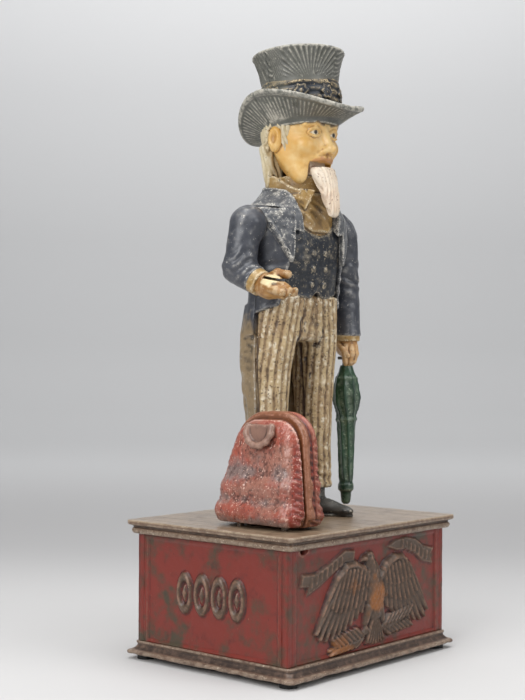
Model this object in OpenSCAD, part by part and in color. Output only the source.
// Cast-iron mechanical bank: a standing figure in a top hat on a box base.
// Pressing the knob behind the figure lowers the coin hand, opens the bag and lifts the beard.
// Millimetres, +Z up. The origin is on the table, under the middle of the base; the front faces -Y.

/* [Base] */
// Width of the base over its mouldings, left to right
base_w = 126; // [120:1:135]
// Depth of the base over its mouldings, front to back
base_d = 101; // [97:1:108]
// Height of the deck's top face above the table
deck_z = 65; // [65:1:66]
// Height of the four pads under the bottom plate
pad_h = 2.5; // [2:0.1:3]
// Thickness of the cast panels
panel_t = 3; // [2.5:0.1:3.5]

/* [Action] */
// Radius of the knob's head
knob_r = 6.5; // [5:0.5:8]
// Half of the angle that the main lever rocks through
lever_half = 9; // [8:0.5:9]
// Half of the angle that the coin arm swings through
arm_half = 17.5; // [15:0.5:18]
// Distance from the lever's shaft to the knob's stem
lever_back = 21; // [20:0.5:21]

/* [Figure] */
// Radius of the hat's brim
brim_r = 30; // [27:1:31]
// Backward tilt of the hat
hat_tilt = 4.5; // [0:0.5:6]
// Wall thickness of the figure's castings
wall = 2.4; // [2.2:0.1:2.6]

/* [Hidden] */

fit = 0.06;                        // radial running clearance
pin_play = 0.12;                   // clearance of a link's eye round its pin
big = 400;
iron = "dimgray";
steel = "silver";

// Base heights and box
plinth_top = pad_h + 6;
cornice_z = deck_z - 6.5;
box_w = base_w - 8;
box_d = base_d - 10;
deck_under = deck_z - 3.5;
floor_top = pad_h + 3;
pilaster = 6;                      // width of a corner pilaster
relief = 0.8;                      // a panel's field lies this far behind its pilasters
bolt_x = box_w / 2 - 9;
bolt_y = box_d / 2 - 9.5;
bolt_r = 2;

// Main lever
shaft_y = 15;
shaft_z = deck_z - 15;
shaft_r = 2;
stem_y = shaft_y + lever_back * cos(lever_half);
stem_r = 2.4;
nose_r = 2;
knob_travel = 2 * lever_back * sin(lever_half);
knob_under = deck_z + knob_travel + 1.3;
collar_z = deck_z - 7.4;
boss_z = deck_z - 5.5;

// Coin arm: shoulder axle, its crank and the push rod in the right leg
shoulder = [-28.4, 0.5, 206];      // where the arm's flat inner face meets the axle
arm_gap = 0.4;
axle_r = 2.2;
rod_x = -17.4;
arm_crank_r = 5.05;
rod_y = shoulder[1] + arm_crank_r * (1 + cos(arm_half)) / 2;
arm_rise = 2 * arm_crank_r * sin(arm_half);
arm_lever = arm_rise / (2 * sin(lever_half));
link_pin_r = 0.9;
plate_x0 = rod_x + 1.2;            // cranks and lever arms that hold a pin lie beside its rod
plate_t = 2;

// Beard: the jaw hangs on a pin in the head and follows a second crank on the axle
jaw_crank_r = 2.3;
jaw_drop = 2 * jaw_crank_r * sin(arm_half);
jaw_tail = 8;
jaw_half = asin(jaw_drop / 2 / jaw_tail);
jaw_link_y = shoulder[1] - jaw_crank_r * (1 + cos(arm_half)) / 2;
jaw_pivot = [jaw_link_y - jaw_tail * (1 + cos(jaw_half)) / 2, 237];   // y, z
jaw_x = -5.6;
jaw_pin_r = 1.1;
fine_pin_r = 0.7;

// Bag on the deck in front of the right leg, parted across its thickness
part_x = -41.5;
part_gap = 0.25;
bag_z = deck_z + 1.2;
bag_lift = 0.5;                    // the moving half stands this much higher
bag_pivot = [-44.6, deck_z + 5];   // x, z
bag_tail = 13.5;
bag_pin_r = 1;
link_y = 0.9;
link_lever = shaft_y - link_y;
link_rise = 2 * link_lever * sin(lever_half) * 0.9995;
bag_half = asin(link_rise / 2 / bag_tail);
link_x = bag_pivot[0] + bag_tail * (1 + cos(bag_half)) / 2;
coin_slot = [[part_x + 2.5, -34], [part_x + 8, -7]];   // x, y corners of the slot in the deck

// Figure
seam_y = 1.8;                      // the castings meet on this plane
leg_x = 16.8;
leg_y = 1.8;
channel_r = 5.4;
hat_centre = [0, -3, 262];
grip = [38, -2, 144.5];            // centre of the left hand

// Coin trap in the bottom plate
trap_hole = [-4, -10];
trap_hole_r = 15;
trap_reach = 24;
trap_t = 1.5;

// Compression spring between the bottom plate and the lever's nose
spring_r = 3.5;
wire_r = 0.5;
spring_turns = 13;
spring_z0 = floor_top + 1.5;
spring_z1 = shaft_z + lever_back * sin(lever_half) - nose_r - 0.2;

// ---------- points and shapes ----------
function arc(cx, cy, r, a0, a1, n = 6) = [for (i = [0:n]) let (a = a0 + (a1 - a0) * i / n) [cx + r * cos(a), cy + r * sin(a)]];
function round_rect(x0, x1, y0, y1, r, n = 4) = concat(
    arc(x1 - r, y1 - r, r, 0, 90, n), arc(x0 + r, y1 - r, r, 90, 180, n),
    arc(x0 + r, y0 + r, r, 180, 270, n), arc(x1 - r, y0 + r, r, 270, 360, n));
function oval(cx, cy, a, b, n = 20, p = 2) = [for (i = [0:n - 1]) let (t = 360 * i / n, c = cos(t), s = sin(t))
    [cx + a * sign(c) * pow(abs(c), 2 / p), cy + b * sign(s) * pow(abs(s), 2 / p)]];
function at_z(outline, z) = [for (q = outline) [q[0], q[1], z]];

// Solid through a stack of rings with equal numbers of points, lowest ring first.
module loft(rings) {
    n = len(rings[0]);
    m = len(rings);
    points = [for (ring = rings) each ring];
    sides = [for (k = [0:m - 2]) for (i = [0:n - 1]) let (j = (i + 1) % n, a = k * n, b = a + n)
        each [[a + i, b + i, b + j], [a + i, b + j, a + j]]];
    caps = [[for (i = [0:n - 1]) i], [for (i = [n - 1:-1:0]) (m - 1) * n + i]];
    polyhedron(points = points, faces = concat(sides, caps));
}

module along_x(x0, x1) { translate([x0, 0, 0]) rotate([90, 0, 90]) linear_extrude(x1 - x0) children(); }
module along_y(y0, y1) { translate([0, y1, 0]) rotate([90, 0, 0]) linear_extrude(y1 - y0) children(); }
module rod_x_axis(x0, x1, y, z, r) { translate([x0, y, z]) rotate([0, 90, 0]) cylinder(r = r, h = x1 - x0, $fn = 40); }
module rod_y_axis(y0, y1, x, z, r) { translate([x, y1, z]) rotate([90, 0, 0]) cylinder(r = r, h = y1 - y0, $fn = 40); }
module post(x, y, z0, z1, r) { translate([x, y, z0]) cylinder(r = r, h = z1 - z0, $fn = 40); }
module block(a, b) { translate(a) cube(b - a); }
module front_side() { block([-big, -big, -big], [big, seam_y, big]); }
module rear_side() { block([-big, seam_y, -big], [big, big, big]); }

// Mitred moulding: the same profile, as [inset, z] points from the bottom up, on all four sides.
module moulding(w, d, profile) {
    n = len(profile);
    function outline(s) = concat([for (q = profile) [s / 2 - q[0], q[1]]],
        [for (i = [n - 1:-1:0]) [-s / 2 + profile[i][0], profile[i][1]]]);
    intersection() {
        along_y(-d, d) polygon(outline(w));
        along_x(-w, w) polygon(outline(d));
        linear_extrude(deck_z + 10) polygon(round_rect(-w / 2, w / 2, -d / 2, d / 2, 2.5));
    }
}

// Flat bar from one point to another in a side view, with round ends.
module bar(a, b, r) {
    run = b - a;
    reach = norm(run);
    translate(a) rotate(atan2(run[1], run[0])) {
        translate([0, -r]) square([reach, 2 * r]);
        circle(r = r, $fn = 32);
        translate([reach, 0]) circle(r = r, $fn = 32);
    }
}

// Eye of a link: a rounded plate with a slot for a pin, in a side view.
module eye(centre, pin_r, swing) {
    translate(centre) difference() {
        square([2 * (pin_r + swing + 1.1), 2 * (pin_r + 1.3)], center = true);
        square([2 * (pin_r + swing + pin_play), 2 * (pin_r + pin_play)], center = true);
    }
}

// ---------- base ----------
function plinth_profile(z) = concat([[0, z], [0, z + 1.6]], [for (q = arc(0.4, z + 5, 3.2, -85, -12, 5)) [q[0] + 0.3, q[1]]],
    arc(4.6, z + 5.2, 0.8, 0, 90, 4));

module bottom_plate() color("tan") difference() {
    union() {
        difference() {
            moulding(base_w, base_d, plinth_profile(pad_h));
            block([-box_w / 2 + panel_t + 2, -box_d / 2 + panel_t + 2, floor_top],
                [box_w / 2 - panel_t - 2, box_d / 2 - panel_t - 2, deck_z]);
        }
        for (sx = [-1, 1], sy = [-1, 1]) post(sx * bolt_x, sy * bolt_y, pad_h + 1, plinth_top, 5);
    }
    for (sx = [-1, 1], sy = [-1, 1]) {
        post(sx * bolt_x, sy * bolt_y, 0, deck_z, bolt_r + 0.2);
        post(sx * bolt_x, sy * bolt_y, 0, pad_h + 2.4, 4);
    }
    post(trap_hole[0], trap_hole[1], 0, deck_z, trap_hole_r);
    post(trap_hole[0], trap_hole[1] - trap_reach, 0, deck_z, 1.5);
    post(0, stem_y, 0, deck_z, 1.6);
}

module base_pads() color("black")
    for (sx = [-1, 1], sy = [-1, 1]) post(sx * (base_w / 2 - 7), sy * (base_d / 2 - 7), 0, pad_h, 4);

// A long panel with a pilaster at each end; the field lies back between them.
module long_panel(side) {
    outer = box_d / 2;
    y_field = outer - relief;
    for (s = [-1, 1]) scale([1, side, 1]) block([s > 0 ? box_w / 2 - pilaster : -box_w / 2, outer - relief - panel_t, plinth_top],
        [s > 0 ? box_w / 2 : -box_w / 2 + pilaster, outer, cornice_z]);
    scale([1, side, 1]) block([-box_w / 2 + pilaster, y_field - panel_t, plinth_top],
        [box_w / 2 - pilaster, y_field, cornice_z]);
}

// Outlines of the relief on the front panel, in x and z.
wing = [[5, 41], [12, 47], [19, 50], [25, 47], [31, 36], [35, 24], [36, 16], [30, 22], [24, 25], [19, 22], [13, 27], [7, 28]];
ribbon = [[9, 52], [17, 56.5], [26, 55], [35, 49], [43, 47.5], [44.5, 52], [49, 48.5], [48, 42], [41, 41.5], [33, 44], [25, 50], [17, 51.5]];
branch = [[2, 16], [12, 20], [22, 25], [27, 20], [22, 13], [12, 12]];
module front_relief(outline) along_y(-box_d / 2 + relief - 1.4, -box_d / 2 + relief) polygon([for (q = outline) q]);

module front_panel() color("firebrick") difference() {
    union() {
        long_panel(-1);
        for (s = [-1, 1]) for (outline = [wing, ribbon, branch]) front_relief([for (q = outline) [s * q[0], q[1]]]);
        front_relief(oval(0, 32, 7.5, 15));
        front_relief(oval(-2, 49, 5, 5));
    }
    // half-round casting notch under the cornice
    rod_y_axis(-big, -box_d / 2 + panel_t + 2, -box_w / 2 + 11, cornice_z, 2.6);
}

module rear_panel() color("firebrick") long_panel(1);

// A short panel between the long ones, with pilasters and four round studs in a row.
module short_panel(side) scale([side, 1, 1]) {
    x1 = box_w / 2;
    y1 = box_d / 2 - relief - panel_t;
    for (s = [-1, 1]) block([x1 - relief - panel_t, s > 0 ? y1 - pilaster + relief + panel_t : -y1, plinth_top],
        [x1, s > 0 ? y1 : -y1 + pilaster - relief - panel_t, cornice_z]);
    block([x1 - relief - panel_t, -y1 + pilaster - relief - panel_t, plinth_top],
        [x1 - relief, y1 - pilaster + relief + panel_t, cornice_z]);
    for (k = [-1.5:1:1.5]) rod_x_axis(x1 - relief - 1, x1 - relief + 1, k * 10.4, 36, 4.4);
}
module left_panel() color("firebrick") short_panel(-1);
module right_panel() color("firebrick") short_panel(1);

module hinge_lug(y0, y1) {
    along_y(y0, y1) difference() {
        union() {
            translate(bag_pivot) circle(r = 2.3, $fn = 40);
            translate([bag_pivot[0] - 0.8, deck_z - 1]) square([3, bag_pivot[1] - deck_z + 1]);
        }
        translate(bag_pivot) circle(r = bag_pin_r, $fn = 40);
    }
}

module deck_plate() color("tan") {
    difference() {
        union() {
            difference() {
                moulding(base_w, base_d, [[3.6, cornice_z], [1.9, cornice_z + 0.5], [1.3, cornice_z + 1.6], [1.7, cornice_z + 2.8],
                    [2.6, cornice_z + 3.3], [1.4, cornice_z + 3.9], [0.3, deck_z - 2.2], [0, deck_z - 1.8], [0, deck_z - 0.5], [0.5, deck_z]]);
                block([-box_w / 2 + panel_t + 2, -box_d / 2 + panel_t + 2, 0],
                    [box_w / 2 - panel_t - 2, box_d / 2 - panel_t - 2, deck_under]);
            }
            for (sx = [-1, 1], sy = [-1, 1]) post(sx * bolt_x, sy * bolt_y, deck_z - 10, deck_z - 1, 4.5);
            post(0, stem_y, boss_z, deck_z - 1, 5);
            for (x = [-34.6, 5.2]) block([x, shaft_y - 4, shaft_z - 3.8], [x + 2.8, shaft_y + 4, deck_z - 1]);
        }
        for (sx = [-1, 1], sy = [-1, 1]) post(sx * bolt_x, sy * bolt_y, 0, deck_z - 2, bolt_r);
        post(0, stem_y, 0, deck_z + 1, stem_r + fit);
        rod_x_axis(-36, 10, shaft_y, shaft_z, shaft_r);
        post(rod_x, rod_y, 0, deck_z + 1, 2);
        post(link_x, link_y, 0, deck_z + 1, 2);
        block([coin_slot[0][0], coin_slot[0][1], 0], [coin_slot[1][0], coin_slot[1][1], deck_z + 1]);
        for (p = foot_screw_at) post(p[0], p[1], 0, deck_z + 1, 1.7);
        for (p = bag_screw_at) post(p[0], p[1], 0, deck_z + 1, 1.5);
    }
    hinge_lug(-32, -29.4);
    hinge_lug(-6, -3.6);
}

module tie_bolts() color(steel) for (sx = [-1, 1], sy = [-1, 1]) difference() {
    union() {
        post(sx * bolt_x, sy * bolt_y, pad_h + 0.3, pad_h + 2.4, 3.6);
        post(sx * bolt_x, sy * bolt_y, pad_h + 2.4, deck_z - 2.2, bolt_r);
    }
    block([sx * bolt_x - 4, sy * bolt_y - 0.5, 0], [sx * bolt_x + 4, sy * bolt_y + 0.5, pad_h + 1.2]);
}

module trap_cover() color(iron) {
    z0 = pad_h - 0.2 - trap_t;
    difference() {
        union() {
            post(trap_hole[0], trap_hole[1], z0, z0 + trap_t, trap_hole_r + 3);
            post(trap_hole[0], trap_hole[1] - trap_reach, z0, z0 + trap_t, 5);
            block([trap_hole[0] - 5, trap_hole[1] - trap_reach, z0], [trap_hole[0] + 5, trap_hole[1] - 14, z0 + trap_t]);
        }
        post(trap_hole[0], trap_hole[1] - trap_reach, 0, big, 1.5 + fit);
        post(trap_hole[0], trap_hole[1] - trap_reach, 0, z0 + 0.6, 3);
        post(trap_hole[0], trap_hole[1] + trap_hole_r - 3, 0, big, 2.4);
    }
}

module trap_rivet() color(steel) {
    z0 = pad_h - 0.2 - trap_t;
    post(trap_hole[0], trap_hole[1] - trap_reach, z0 + 0.05, z0 + 0.5, 2.8);
    post(trap_hole[0], trap_hole[1] - trap_reach, z0 + 0.5, floor_top, 1.5);
    post(trap_hole[0], trap_hole[1] - trap_reach, floor_top, floor_top + 1.2, 2.8);
}

// ---------- action in the base ----------
module spring_seat() color(steel) {
    post(0, stem_y, pad_h + 0.3, floor_top, 1.6);
    post(0, stem_y, floor_top, floor_top + 1.5, 4.4);
    post(0, stem_y, floor_top + 1.5, floor_top + 6, 2.6);
}

function coil(t) = let (a = 360 * spring_turns * t, ease = wire_r + (spring_z1 - spring_z0 - 2 * wire_r) * t)
    [spring_r * cos(a), spring_r * sin(a), spring_z0 + ease];
module return_spring() color(steel) translate([0, stem_y, 0]) {
    n = spring_turns * 14;
    sides = 6;
    points = [for (i = [0:n]) let (t = i / n, c = coil(t), a = 360 * spring_turns * t)
        for (k = [0:sides - 1]) let (b = 360 * k / sides)
            c + wire_r * [cos(b) * cos(a), cos(b) * sin(a), sin(b)]];
    faces = concat([for (i = [0:n - 1]) for (k = [0:sides - 1]) let (j = (k + 1) % sides, a = i * sides, b = a + sides)
        each [[a + k, b + k, b + j], [a + k, b + j, a + j]]],
        [[for (k = [0:sides - 1]) k], [for (k = [sides - 1:-1:0]) n * sides + k]]);
    polyhedron(points = points, faces = [for (f = faces) [for (i = [len(f) - 1:-1:0]) f[i]]]);
}

function lever_point(reach) = [shaft_y + reach * cos(lever_half), shaft_z + reach * sin(lever_half)];   // y, z

module main_lever() color(iron) difference() {
    union() {
        rod_x_axis(-31.4, 4.8, shaft_y, shaft_z, 3.8);
        along_x(-1.6, 1.6) bar([shaft_y, shaft_z], lever_point(lever_back), 1.5);
        along_x(-2.6, 2.6) translate(lever_point(lever_back)) circle(r = nose_r, $fn = 40);
        along_x(plate_x0, plate_x0 + plate_t) bar([shaft_y, shaft_z], lever_point(-arm_lever), 1.9);
        rod_x_axis(rod_x - 1.4, plate_x0 + 1, lever_point(-arm_lever)[0], lever_point(-arm_lever)[1], link_pin_r);
        along_x(link_x + 1.2, link_x + 1.2 + plate_t) bar([shaft_y, shaft_z], lever_point(-link_lever), 1.9);
        rod_x_axis(link_x - 1.4, link_x + 2, lever_point(-link_lever)[0], lever_point(-link_lever)[1], link_pin_r);
    }
    rod_x_axis(-big, big, shaft_y, shaft_z, shaft_r + fit);
}

module lever_shaft() color(steel) rod_x_axis(-35.2, 8.6, shaft_y, shaft_z, shaft_r);

module knob() color("tan") {
    post(0, stem_y, lever_point(lever_back)[1] + nose_r + 0.12, knob_under + 1, stem_r);
    translate([0, stem_y, knob_under]) rotate_extrude($fn = 64)
        polygon(concat([[0, 0], [knob_r - 1.6, 0]], arc(knob_r - 1.6, 1.6, 1.6, -90, 60, 6), [[knob_r - 2.6, 4.4], [2, 5.2], [0, 5.3]]));
}

module stem_collar() color(steel) translate([0, stem_y, collar_z]) difference() {
    cylinder(r = 3.6, h = 1.8, $fn = 40);
    translate([0, 0, -1]) cylinder(r = stem_r, h = 4, $fn = 40);
}

// A rod with an eye at each end for pins that lie along X.
module push_rod(x, y, z0, z1, r, pin_r, swing, thick) {
    post(x, y, z0 + pin_r + 1.1, z1 - pin_r - 1.1, r);
    for (z = [z0, z1]) along_x(x - thick / 2, x + thick / 2) eye([y, z], pin_r, swing);
}

module arm_rod() color(steel)
    push_rod(rod_x, rod_y, lever_point(-arm_lever)[1], shoulder[2] - arm_crank_r * sin(arm_half), 1.1, link_pin_r, 0.2, 1.7);

module bag_link() color(steel) {
    z0 = lever_point(-link_lever)[1];
    z1 = bag_pivot[1] - bag_tail * sin(bag_half);
    post(link_x, link_y, z0 + link_pin_r + 1.1, z1 - link_pin_r - 1.1, 1.1);
    along_x(link_x - 0.85, link_x + 0.85) eye([link_y, z0], link_pin_r, 0.2);
    along_y(link_y - 0.85, link_y + 0.85) eye([link_x, z1], link_pin_r, 0.2);
}

// ---------- bag ----------
bag_rings = [[0, -49, -26.6, -38.6, 6, 6], [3.8, -50, -25.8, -40, 7.6, 8], [14, -49.2, -26, -39.6, 6.6, 8],
    [26, -47.6, -26.8, -38.8, 3.8, 7.5], [38, -46, -28, -37.8, 0.4, 7], [46, -45, -29, -37, -2, 6], [51.3, -44.3, -29.6, -35.8, -3.6, 5]];
module bag_body(inset = 0, top = 1) loft([for (q = bag_rings)
    at_z(round_rect(q[1] + inset, q[2] - inset, q[3] + inset, q[4] - inset, q[5] - inset * 0.8), bag_z + (q[0] < 1 ? q[0] - inset * 4 : q[0] * top))]);

module bag_rear_half() color("indianred") difference() {
    union() {
        intersection() {
            difference() {
                bag_body();
                bag_body(2.2, 0.92);
            }
            block([part_x + part_gap, -big, 0], [big, big, big]);
        }
        for (p = bag_screw_at) post(p[0], p[1], bag_z, bag_z + 12, 2.8);
    }
    for (p = bag_screw_at) post(p[0], p[1], 0, bag_z + 10, 1.3);
}

module bag_front_half() color("indianred") {
    tip = [bag_pivot[0] + bag_tail * cos(bag_half), bag_pivot[1] - bag_tail * sin(bag_half)];
    difference() {
        union() {
            intersection() {
                difference() {
                    bag_body();
                    bag_body(2.2, 1.2);
                }
                block([-big, -big, bag_z + bag_lift], [part_x - part_gap, big, deck_z + 49]);
            }
            // folded-down carrying handle, cast on
            translate([-46.2, -18, bag_z + 38]) rotate([0, 90, 0]) rotate_extrude($fn = 48) translate([4.6, 0]) circle(r = 1.1, $fn = 16);
            for (y = [-24, -18.5]) block([-48.6, y, bag_pivot[1] - 1.4], [bag_pivot[0], y + 3, bag_pivot[1] + 1.4]);
            for (y = [-24, -18.5]) rod_y_axis(y, y + 3, bag_pivot[0], bag_pivot[1], 2.2);
            along_y(link_y - 3.4, link_y - 1.1) bar(bag_pivot - [3.6, 0], tip, 1.5);
            rod_y_axis(link_y - 3.4, link_y - 1.1, bag_pivot[0], bag_pivot[1], 2.2);
            rod_y_axis(link_y - 2, link_y + 1.4, tip[0], tip[1], link_pin_r);
        }
        rod_y_axis(-big, big, bag_pivot[0], bag_pivot[1], bag_pin_r + fit);
        // the parting face is cut back under the hinge, so that it clears the rear half as it tips
        block([part_x - 2, -big, 0], [big, -10, bag_pivot[1] + 1]);
        block([part_x - 2, 3.2, 0], [big, big, bag_pivot[1] + 1]);
    }
}

module bag_hinge_pin() color(steel) rod_y_axis(-32.6, link_y - 0.9, bag_pivot[0], bag_pivot[1], bag_pin_r);

bag_screw_at = [[-30, -33], [-29.6, -14]];
module bag_screws() color(steel) for (p = bag_screw_at) {
    post(p[0], p[1], deck_under - 1.8, deck_under, 3);
    post(p[0], p[1], deck_under, bag_z + 9, 1.3);
}

// ---------- figure ----------
torso_rings = [[145, 25.5, 12, 2], [152, 26, 13.4, 1.8], [160, 25, 14, 1.4], [170, 24, 14.6, 0.6], [185, 25.5, 15.4, 0], [198, 27.4, 15, 0.4],
    [207, 27.8, 13.6, 1], [213, 24, 11.6, 1], [218, 15, 10.6, 0], [224, 12, 11, -1.6]];
module torso(inset = 0) loft([for (q = torso_rings) at_z(oval(0, q[3], q[1] - inset, q[2] - inset, 24, 2.3), q[0] + (q[0] < 150 ? inset * 0.8 : 0))]);

head_rings = [[222, 11, 10, -2.5], [226, 14.5, 13.6, -3.2], [232, 17, 16, -3.6], [242, 17.6, 16.6, -3.6], [252, 17.4, 16.4, -3.4], [262, 16.4, 15.6, -3]];
module head(inset = 0) loft([for (q = head_rings) at_z(oval(0, q[3], q[1] - inset, q[2] - inset, 24, 2.4), q[0])]);

leg_rings = [[76, 8, 8.4], [100, 7.9, 8.2], [121, 8.3, 8.6], [136, 9.2, 10.4], [150, 9.4, 11]];
module leg(side) loft([for (q = leg_rings) at_z(oval(side * leg_x, leg_y, q[1], q[2], 20), q[0])]);

shoe_rings = [[0, 5.8, 14.6, -7], [2.5, 6, 15.4, -7], [5.5, 5.6, 13.6, -5.4], [8.5, 5, 8.6, -1], [13, 5, 6, 1.8]];
module shoe(side) loft([for (q = shoe_rings) at_z(oval(side * leg_x, q[3], q[1], q[2], 20, 2.3), deck_z + q[0])]);

tail_rings = [[106, 6, 2.4, 12.6, 13], [116, 8, 3, 12, 12.6], [132, 10, 4, 12, 11.6], [150, 12, 5.4, 11, 10.6], [168, 13, 7, 8, 9]];
module coat_tail(side) loft([for (q = tail_rings) at_z(oval(side * q[4], q[3], q[1], q[2], 16, 2.4), q[0])]);

module hat_crown() translate(hat_centre) rotate([-hat_tilt, 0, 0]) rotate_extrude($fn = 64)
    polygon([[0, -12], [17.4, -12], [17.8, -5], [18, 3], [18.4, 9], [19.6, 16], [21.6, 22.6], [21.7, 23.6], [20.8, 24.4], [10, 25], [0, 25.1]]);

// Height of the brim at an angle from the front and a share of the way from the head to the edge.
function brim_height(t, s) = let (c = cos(t), side = 1 - c * c,
    root = 251.6 * side + (c > 0 ? 255 : 247) * c * c, edge = 265.6 * side + (c > 0 ? 258.6 : 247) * c * c)
    root + (edge - root) * pow(s, 0.85);
module hat_brim() {
    n = 40;
    inner_r = 14;
    shares = [-0.3, 0, 0.35, 0.7, 1];
    function brim_ring(s, lift) = [for (i = [0:n - 1]) let (t = 360 * i / n, r = inner_r + 3 + (brim_r - inner_r - 3) * s)
        [r * sin(t), hat_centre[1] - r * cos(t), brim_height(t, max(s, 0)) + lift]];
    rings = concat([for (s = shares) brim_ring(s, 0)], [for (k = [len(shares) - 1:-1:0]) brim_ring(shares[k], -2)]);
    m = len(rings);
    polyhedron(points = [for (ring = rings) each ring], faces = [for (k = [0:m - 1]) for (i = [0:n - 1])
        let (j = (i + 1) % n, a = k * n, b = ((k + 1) % m) * n) each [[a + i, b + j, b + i], [a + i, a + j, b + j]]]);
}

module collar() loft([for (q = [[214, 15, 12.6, -0.6], [219, 14.4, 12.4, -1.2], [225, 14.2, 12.8, -2]]) at_z(oval(0, q[3], q[1], q[2], 24), q[0])]);

arm_rings = [[212, 33, 1, 3, 4.5], [209, 34.6, 1, 6, 7], [202, 36.6, 1, 7.8, 8.4], [190, 38.4, 1.6, 7.8, 8.2], [180, 39.2, 1.4, 7.4, 7.8],
    [166, 38.8, -0.4, 6.6, 7.2], [156, 38.4, -1.6, 6.2, 6.8], [151, 38.2, -2, 6.6, 7.2]];
module left_arm() {
    loft([for (k = [len(arm_rings) - 1:-1:0]) let (q = arm_rings[k]) at_z(oval(q[1], q[2], q[3], q[4], 18), q[0])]);
    intersection() {
        rod_x_axis(20, 36, 0.6, 203, 6.4);
        front_side();
    }
    difference() {
        translate(grip) sphere(r = 6.3, $fn = 36);
        post(grip[0], grip[1], 0, grip[2] - 1, 2.3);
        rod_y_axis(grip[1] - 8, grip[1] + 8, grip[0], grip[2] - 3.4, 0.8);
    }
    post(grip[0], grip[1], grip[2] + 2, 153, 5);
}

module figure_solid() {
    torso();
    head();
    collar();
    hat_crown();
    hat_brim();
    for (s = [-1, 1]) {
        leg(s);
        shoe(s);
        coat_tail(s);
    }
}

module figure_cavity() {
    torso(wall);
    head(wall + 0.4);
    translate([0, 0, 1]) post(0, -1.6, 214, 232, 8.4);
    translate(hat_centre) rotate([-hat_tilt, 0, 0]) post(0, 0, -14, 20, 13);
    for (s = [-1, 1]) post(s * leg_x, leg_y, deck_z - 1, 156, channel_r);
    rod_x_axis(shoulder[0] - 6, -20, shoulder[1], shoulder[2], axle_r + fit);
}

screw_at = [[13, 166], [13, 190], [0, 274]];   // x, z of the screws that join the castings
screw_depth = [[-10.5, 14.2], [-10.5, 14.2], [-18, 16]];
module screw_bosses(side) for (k = [0:2]) intersection() {
    rod_y_axis(screw_depth[k][0], screw_depth[k][1] - 3.4, screw_at[k][0], screw_at[k][1], 3.4);
    if (side < 0) front_side();
    else rear_side();
}

// Bearing lugs for the shoulder axle, half in each casting.
module axle_lug() difference() {
    block([-12, shoulder[1] - 12, shoulder[2] - 4.2], [-9, shoulder[1] + 12, shoulder[2] + 4.2]);
    rod_x_axis(-big, big, shoulder[1], shoulder[2], axle_r + fit);
}
module jaw_lugs() for (s = [-1, 1]) scale([s, 1, 1]) difference() {
    union() {
        block([7.6, jaw_pivot[0] - 8.6, jaw_pivot[1] - 2.6], [9.8, jaw_pivot[0], jaw_pivot[1] + 2.6]);
        rod_x_axis(7.6, 9.8, jaw_pivot[0], jaw_pivot[1], 2.6);
    }
    rod_x_axis(-big, big, jaw_pivot[0], jaw_pivot[1], jaw_pin_r);
}
module torso_clip() { torso(0.6); }

module figure_front_casting() color("steelblue") difference() {
    union() {
        difference() {
            intersection() {
                figure_solid();
                front_side();
            }
            figure_cavity();
            // slot in the face that the jaw and beard move in
            block([-7, -30, 219], [7, -10, 233.3]);
        }
        left_arm();
        screw_bosses(-1);
        intersection() {
            axle_lug();
            torso_clip();
            front_side();
        }
        jaw_lugs();
    }
    for (k = [0:2]) rod_y_axis(screw_depth[k][0] + 1.5, big, screw_at[k][0], screw_at[k][1], 1.4);
    for (p = foot_screw_at) post(p[0], p[1], 0, deck_z + 6, 1.5);
}

module figure_rear_casting() color("steelblue") difference() {
    union() {
        difference() {
            intersection() {
                figure_solid();
                rear_side();
            }
            figure_cavity();
        }
        screw_bosses(1);
        intersection() {
            axle_lug();
            torso_clip();
            rear_side();
        }
    }
    for (k = [0:2]) {
        rod_y_axis(-big, big, screw_at[k][0], screw_at[k][1], 1.6);
        rod_y_axis(screw_depth[k][1] - 1.8, big, screw_at[k][0], screw_at[k][1], 3);
    }
}

module figure_screws() color(steel) for (k = [0:2]) difference() {
    union() {
        rod_y_axis(screw_depth[k][0] + 2, screw_depth[k][1] - 1.8, screw_at[k][0], screw_at[k][1], 1.4);
        rod_y_axis(screw_depth[k][1] - 1.8, screw_depth[k][1] - 0.2, screw_at[k][0], screw_at[k][1], 2.8);
    }
    block([screw_at[k][0] - 3, screw_depth[k][1] - 0.9, screw_at[k][1] - 0.4], [screw_at[k][0] + 3, big, screw_at[k][1] + 0.4]);
}

foot_screw_at = [[-leg_x, -13], [leg_x, -13]];
module foot_screws() color(steel) for (p = foot_screw_at) {
    post(p[0], p[1], deck_under - 1.8, deck_under, 3.2);
    post(p[0], p[1], deck_under, deck_z + 5, 1.5);
}

// ---------- coin arm ----------
module ball(p, r) { translate(p) sphere(r = r, $fn = 24); }
module right_arm() color("steelblue") {
    elbow = [-38, 2.2, 182];
    wrist = [-37.4, -7.5, 176.4];
    difference() {
        intersection() {
            union() {
                hull() { ball([-36.6, 0.6, 204.4], 8.2); ball(elbow, 7.8); }
                hull() { ball(elbow, 7.7); ball(wrist, 6.4); }
            }
            block([-big, -big, 0], [shoulder[0] - arm_gap, big, big]);
        }
        rod_x_axis(-39, 0, shoulder[1], shoulder[2], axle_r);
    }
    difference() {
        union() {
            hull() { ball([-37, -12, 174.6], 5.6); ball([-35.6, -24, 171.6], 3.6); ball([-35, -29.6, 170.4], 1.8); }
            hull() { ball([-33.6, -14, 178], 2.4); ball([-33, -23, 178.6], 1.9); }
        }
        // slit between thumb and palm that holds the coin
        translate([-36, -22, 176.2]) rotate([10, 0, 0]) cube([26, 22, 1.2], center = true);
    }
}

module arm_axle() color(steel) rod_x_axis(-38.6, jaw_x - 1.7, shoulder[1], shoulder[2], axle_r);

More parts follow.
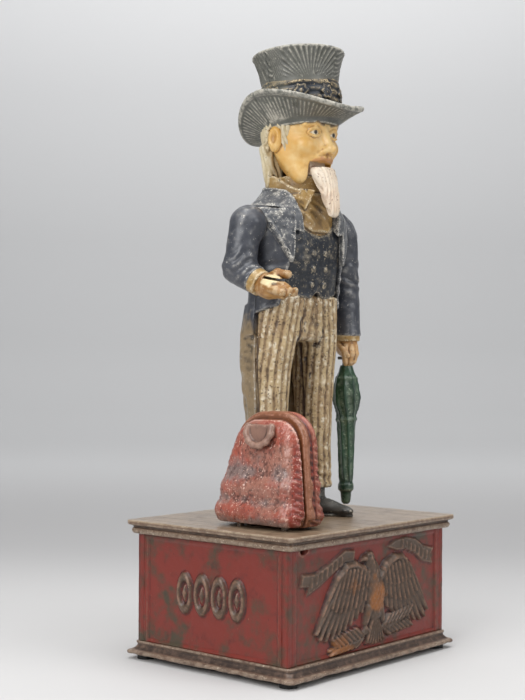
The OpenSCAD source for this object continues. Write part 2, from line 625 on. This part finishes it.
// Crank: a hub on the axle and a plate that carries a pin, at an angle from straight back.
module crank(x0, x1, angle, reach, pin_r, hub_r, pin_out) {
    tip = [shoulder[1] + reach * cos(angle), shoulder[2] + reach * sin(angle)];
    difference() {
        union() {
            along_x(x0, x1) bar([shoulder[1], shoulder[2]], tip, pin_r + 0.7);
            rod_x_axis(x0, x1 + 1, shoulder[1], shoulder[2], hub_r);
        }
        rod_x_axis(-big, big, shoulder[1], shoulder[2], axle_r);
    }
    difference() {
        rod_x_axis(x0 - pin_out, x0 + 0.5, tip[0], tip[1], pin_r);
        rod_x_axis(-big, big, shoulder[1], shoulder[2], axle_r);
    }
}
module arm_crank() color(iron) crank(plate_x0, plate_x0 + plate_t, -arm_half, arm_crank_r, link_pin_r, 3.8, 2.6);
// Capped hub on the end of the axle, with the jaw link's pin standing out of its cap.
module jaw_crank() color(iron) difference() {
    union() {
        rod_x_axis(jaw_x - 2.9, jaw_x - 1.1, shoulder[1], shoulder[2], 3.8);
        rod_x_axis(jaw_x - 1.4, jaw_x + 1.2, shoulder[1] - jaw_crank_r * cos(arm_half),
            shoulder[2] + jaw_crank_r * sin(arm_half), fine_pin_r);
    }
    rod_x_axis(-big, jaw_x - 1.7, shoulder[1], shoulder[2], axle_r);
}

module jaw_link() color(steel)
    push_rod(jaw_x, jaw_link_y, shoulder[2] + jaw_crank_r * sin(arm_half), jaw_pivot[1] + jaw_tail * sin(jaw_half), 0.9, fine_pin_r, 0.2, 1.5);

beard_rings = [[208, 2.6, 1.4, -21.4], [212, 3.6, 1.9, -20.9], [219, 5, 2.4, -19.8], [226, 6.2, 2.7, -18.6], [230.9, 6.5, 2.8, -17.6]];
module lower_jaw() color("wheat") {
    tail_tip = [jaw_pivot[0] + jaw_tail * cos(jaw_half), jaw_pivot[1] + jaw_tail * sin(jaw_half)];
    loft([for (q = beard_rings) at_z(oval(0, q[3], q[1], q[2], 18, 2.4), q[0])]);
    difference() {
        union() {
            block([-5.6, -17.6, 227.4], [5.6, jaw_pivot[0] + 1.5, 230.9]);
            block([-5.6, -13.4, 229], [5.6, jaw_pivot[0] + 2, jaw_pivot[1]]);
            rod_x_axis(-5.6, 5.6, jaw_pivot[0], jaw_pivot[1], 2.5);
            along_x(jaw_x + 1.2, jaw_x + 2.8) bar(jaw_pivot, tail_tip, 1.5);
        }
        rod_x_axis(-big, big, jaw_pivot[0], jaw_pivot[1], jaw_pin_r + fit);
    }
    rod_x_axis(jaw_x - 1.2, jaw_x + 2, tail_tip[0], tail_tip[1], fine_pin_r);
}
module jaw_pin() color(steel) rod_x_axis(-9.8, 9.8, jaw_pivot[0], jaw_pivot[1], jaw_pin_r);

// ---------- umbrella ----------
module umbrella() color("darkgreen") translate([grip[0], grip[1], 0]) difference() {
    rotate_extrude($fn = 48) polygon([[0, 68.4], [1.6, 68.6], [2.2, 70], [2.3, 74.4], [3.6, 75.2], [3.7, 77], [3, 78], [3.3, 82], [3.9, 92],
        [4.1, 104], [4.6, 110], [4.4, 113], [5.5, 116], [5.9, 120.5], [5.4, 125], [4.4, 129], [3, 133], [2.6, 137], [2.2, 137.6], [2.2, grip[2] - 1.1], [0, grip[2] - 1.1]]);
    rod_y_axis(-10, 10, 0, grip[2] - 3.4, 0.8);
}
module umbrella_pin() color(steel) rod_y_axis(grip[1] - 5, grip[1] + 5, grip[0], grip[2] - 3.4, 0.8);

// ---------- drawing ----------
bottom_plate();
base_pads();
front_panel();
rear_panel();
left_panel();
right_panel();
deck_plate();
tie_bolts();
trap_cover();
trap_rivet();
spring_seat();
return_spring();
main_lever();
lever_shaft();
knob();
stem_collar();
arm_rod();
bag_link();
bag_rear_half();
bag_front_half();
bag_hinge_pin();
bag_screws();
figure_front_casting();
figure_rear_casting();
figure_screws();
foot_screws();
right_arm();
arm_axle();
arm_crank();
jaw_crank();
jaw_link();
lower_jaw();
jaw_pin();
umbrella();
umbrella_pin();
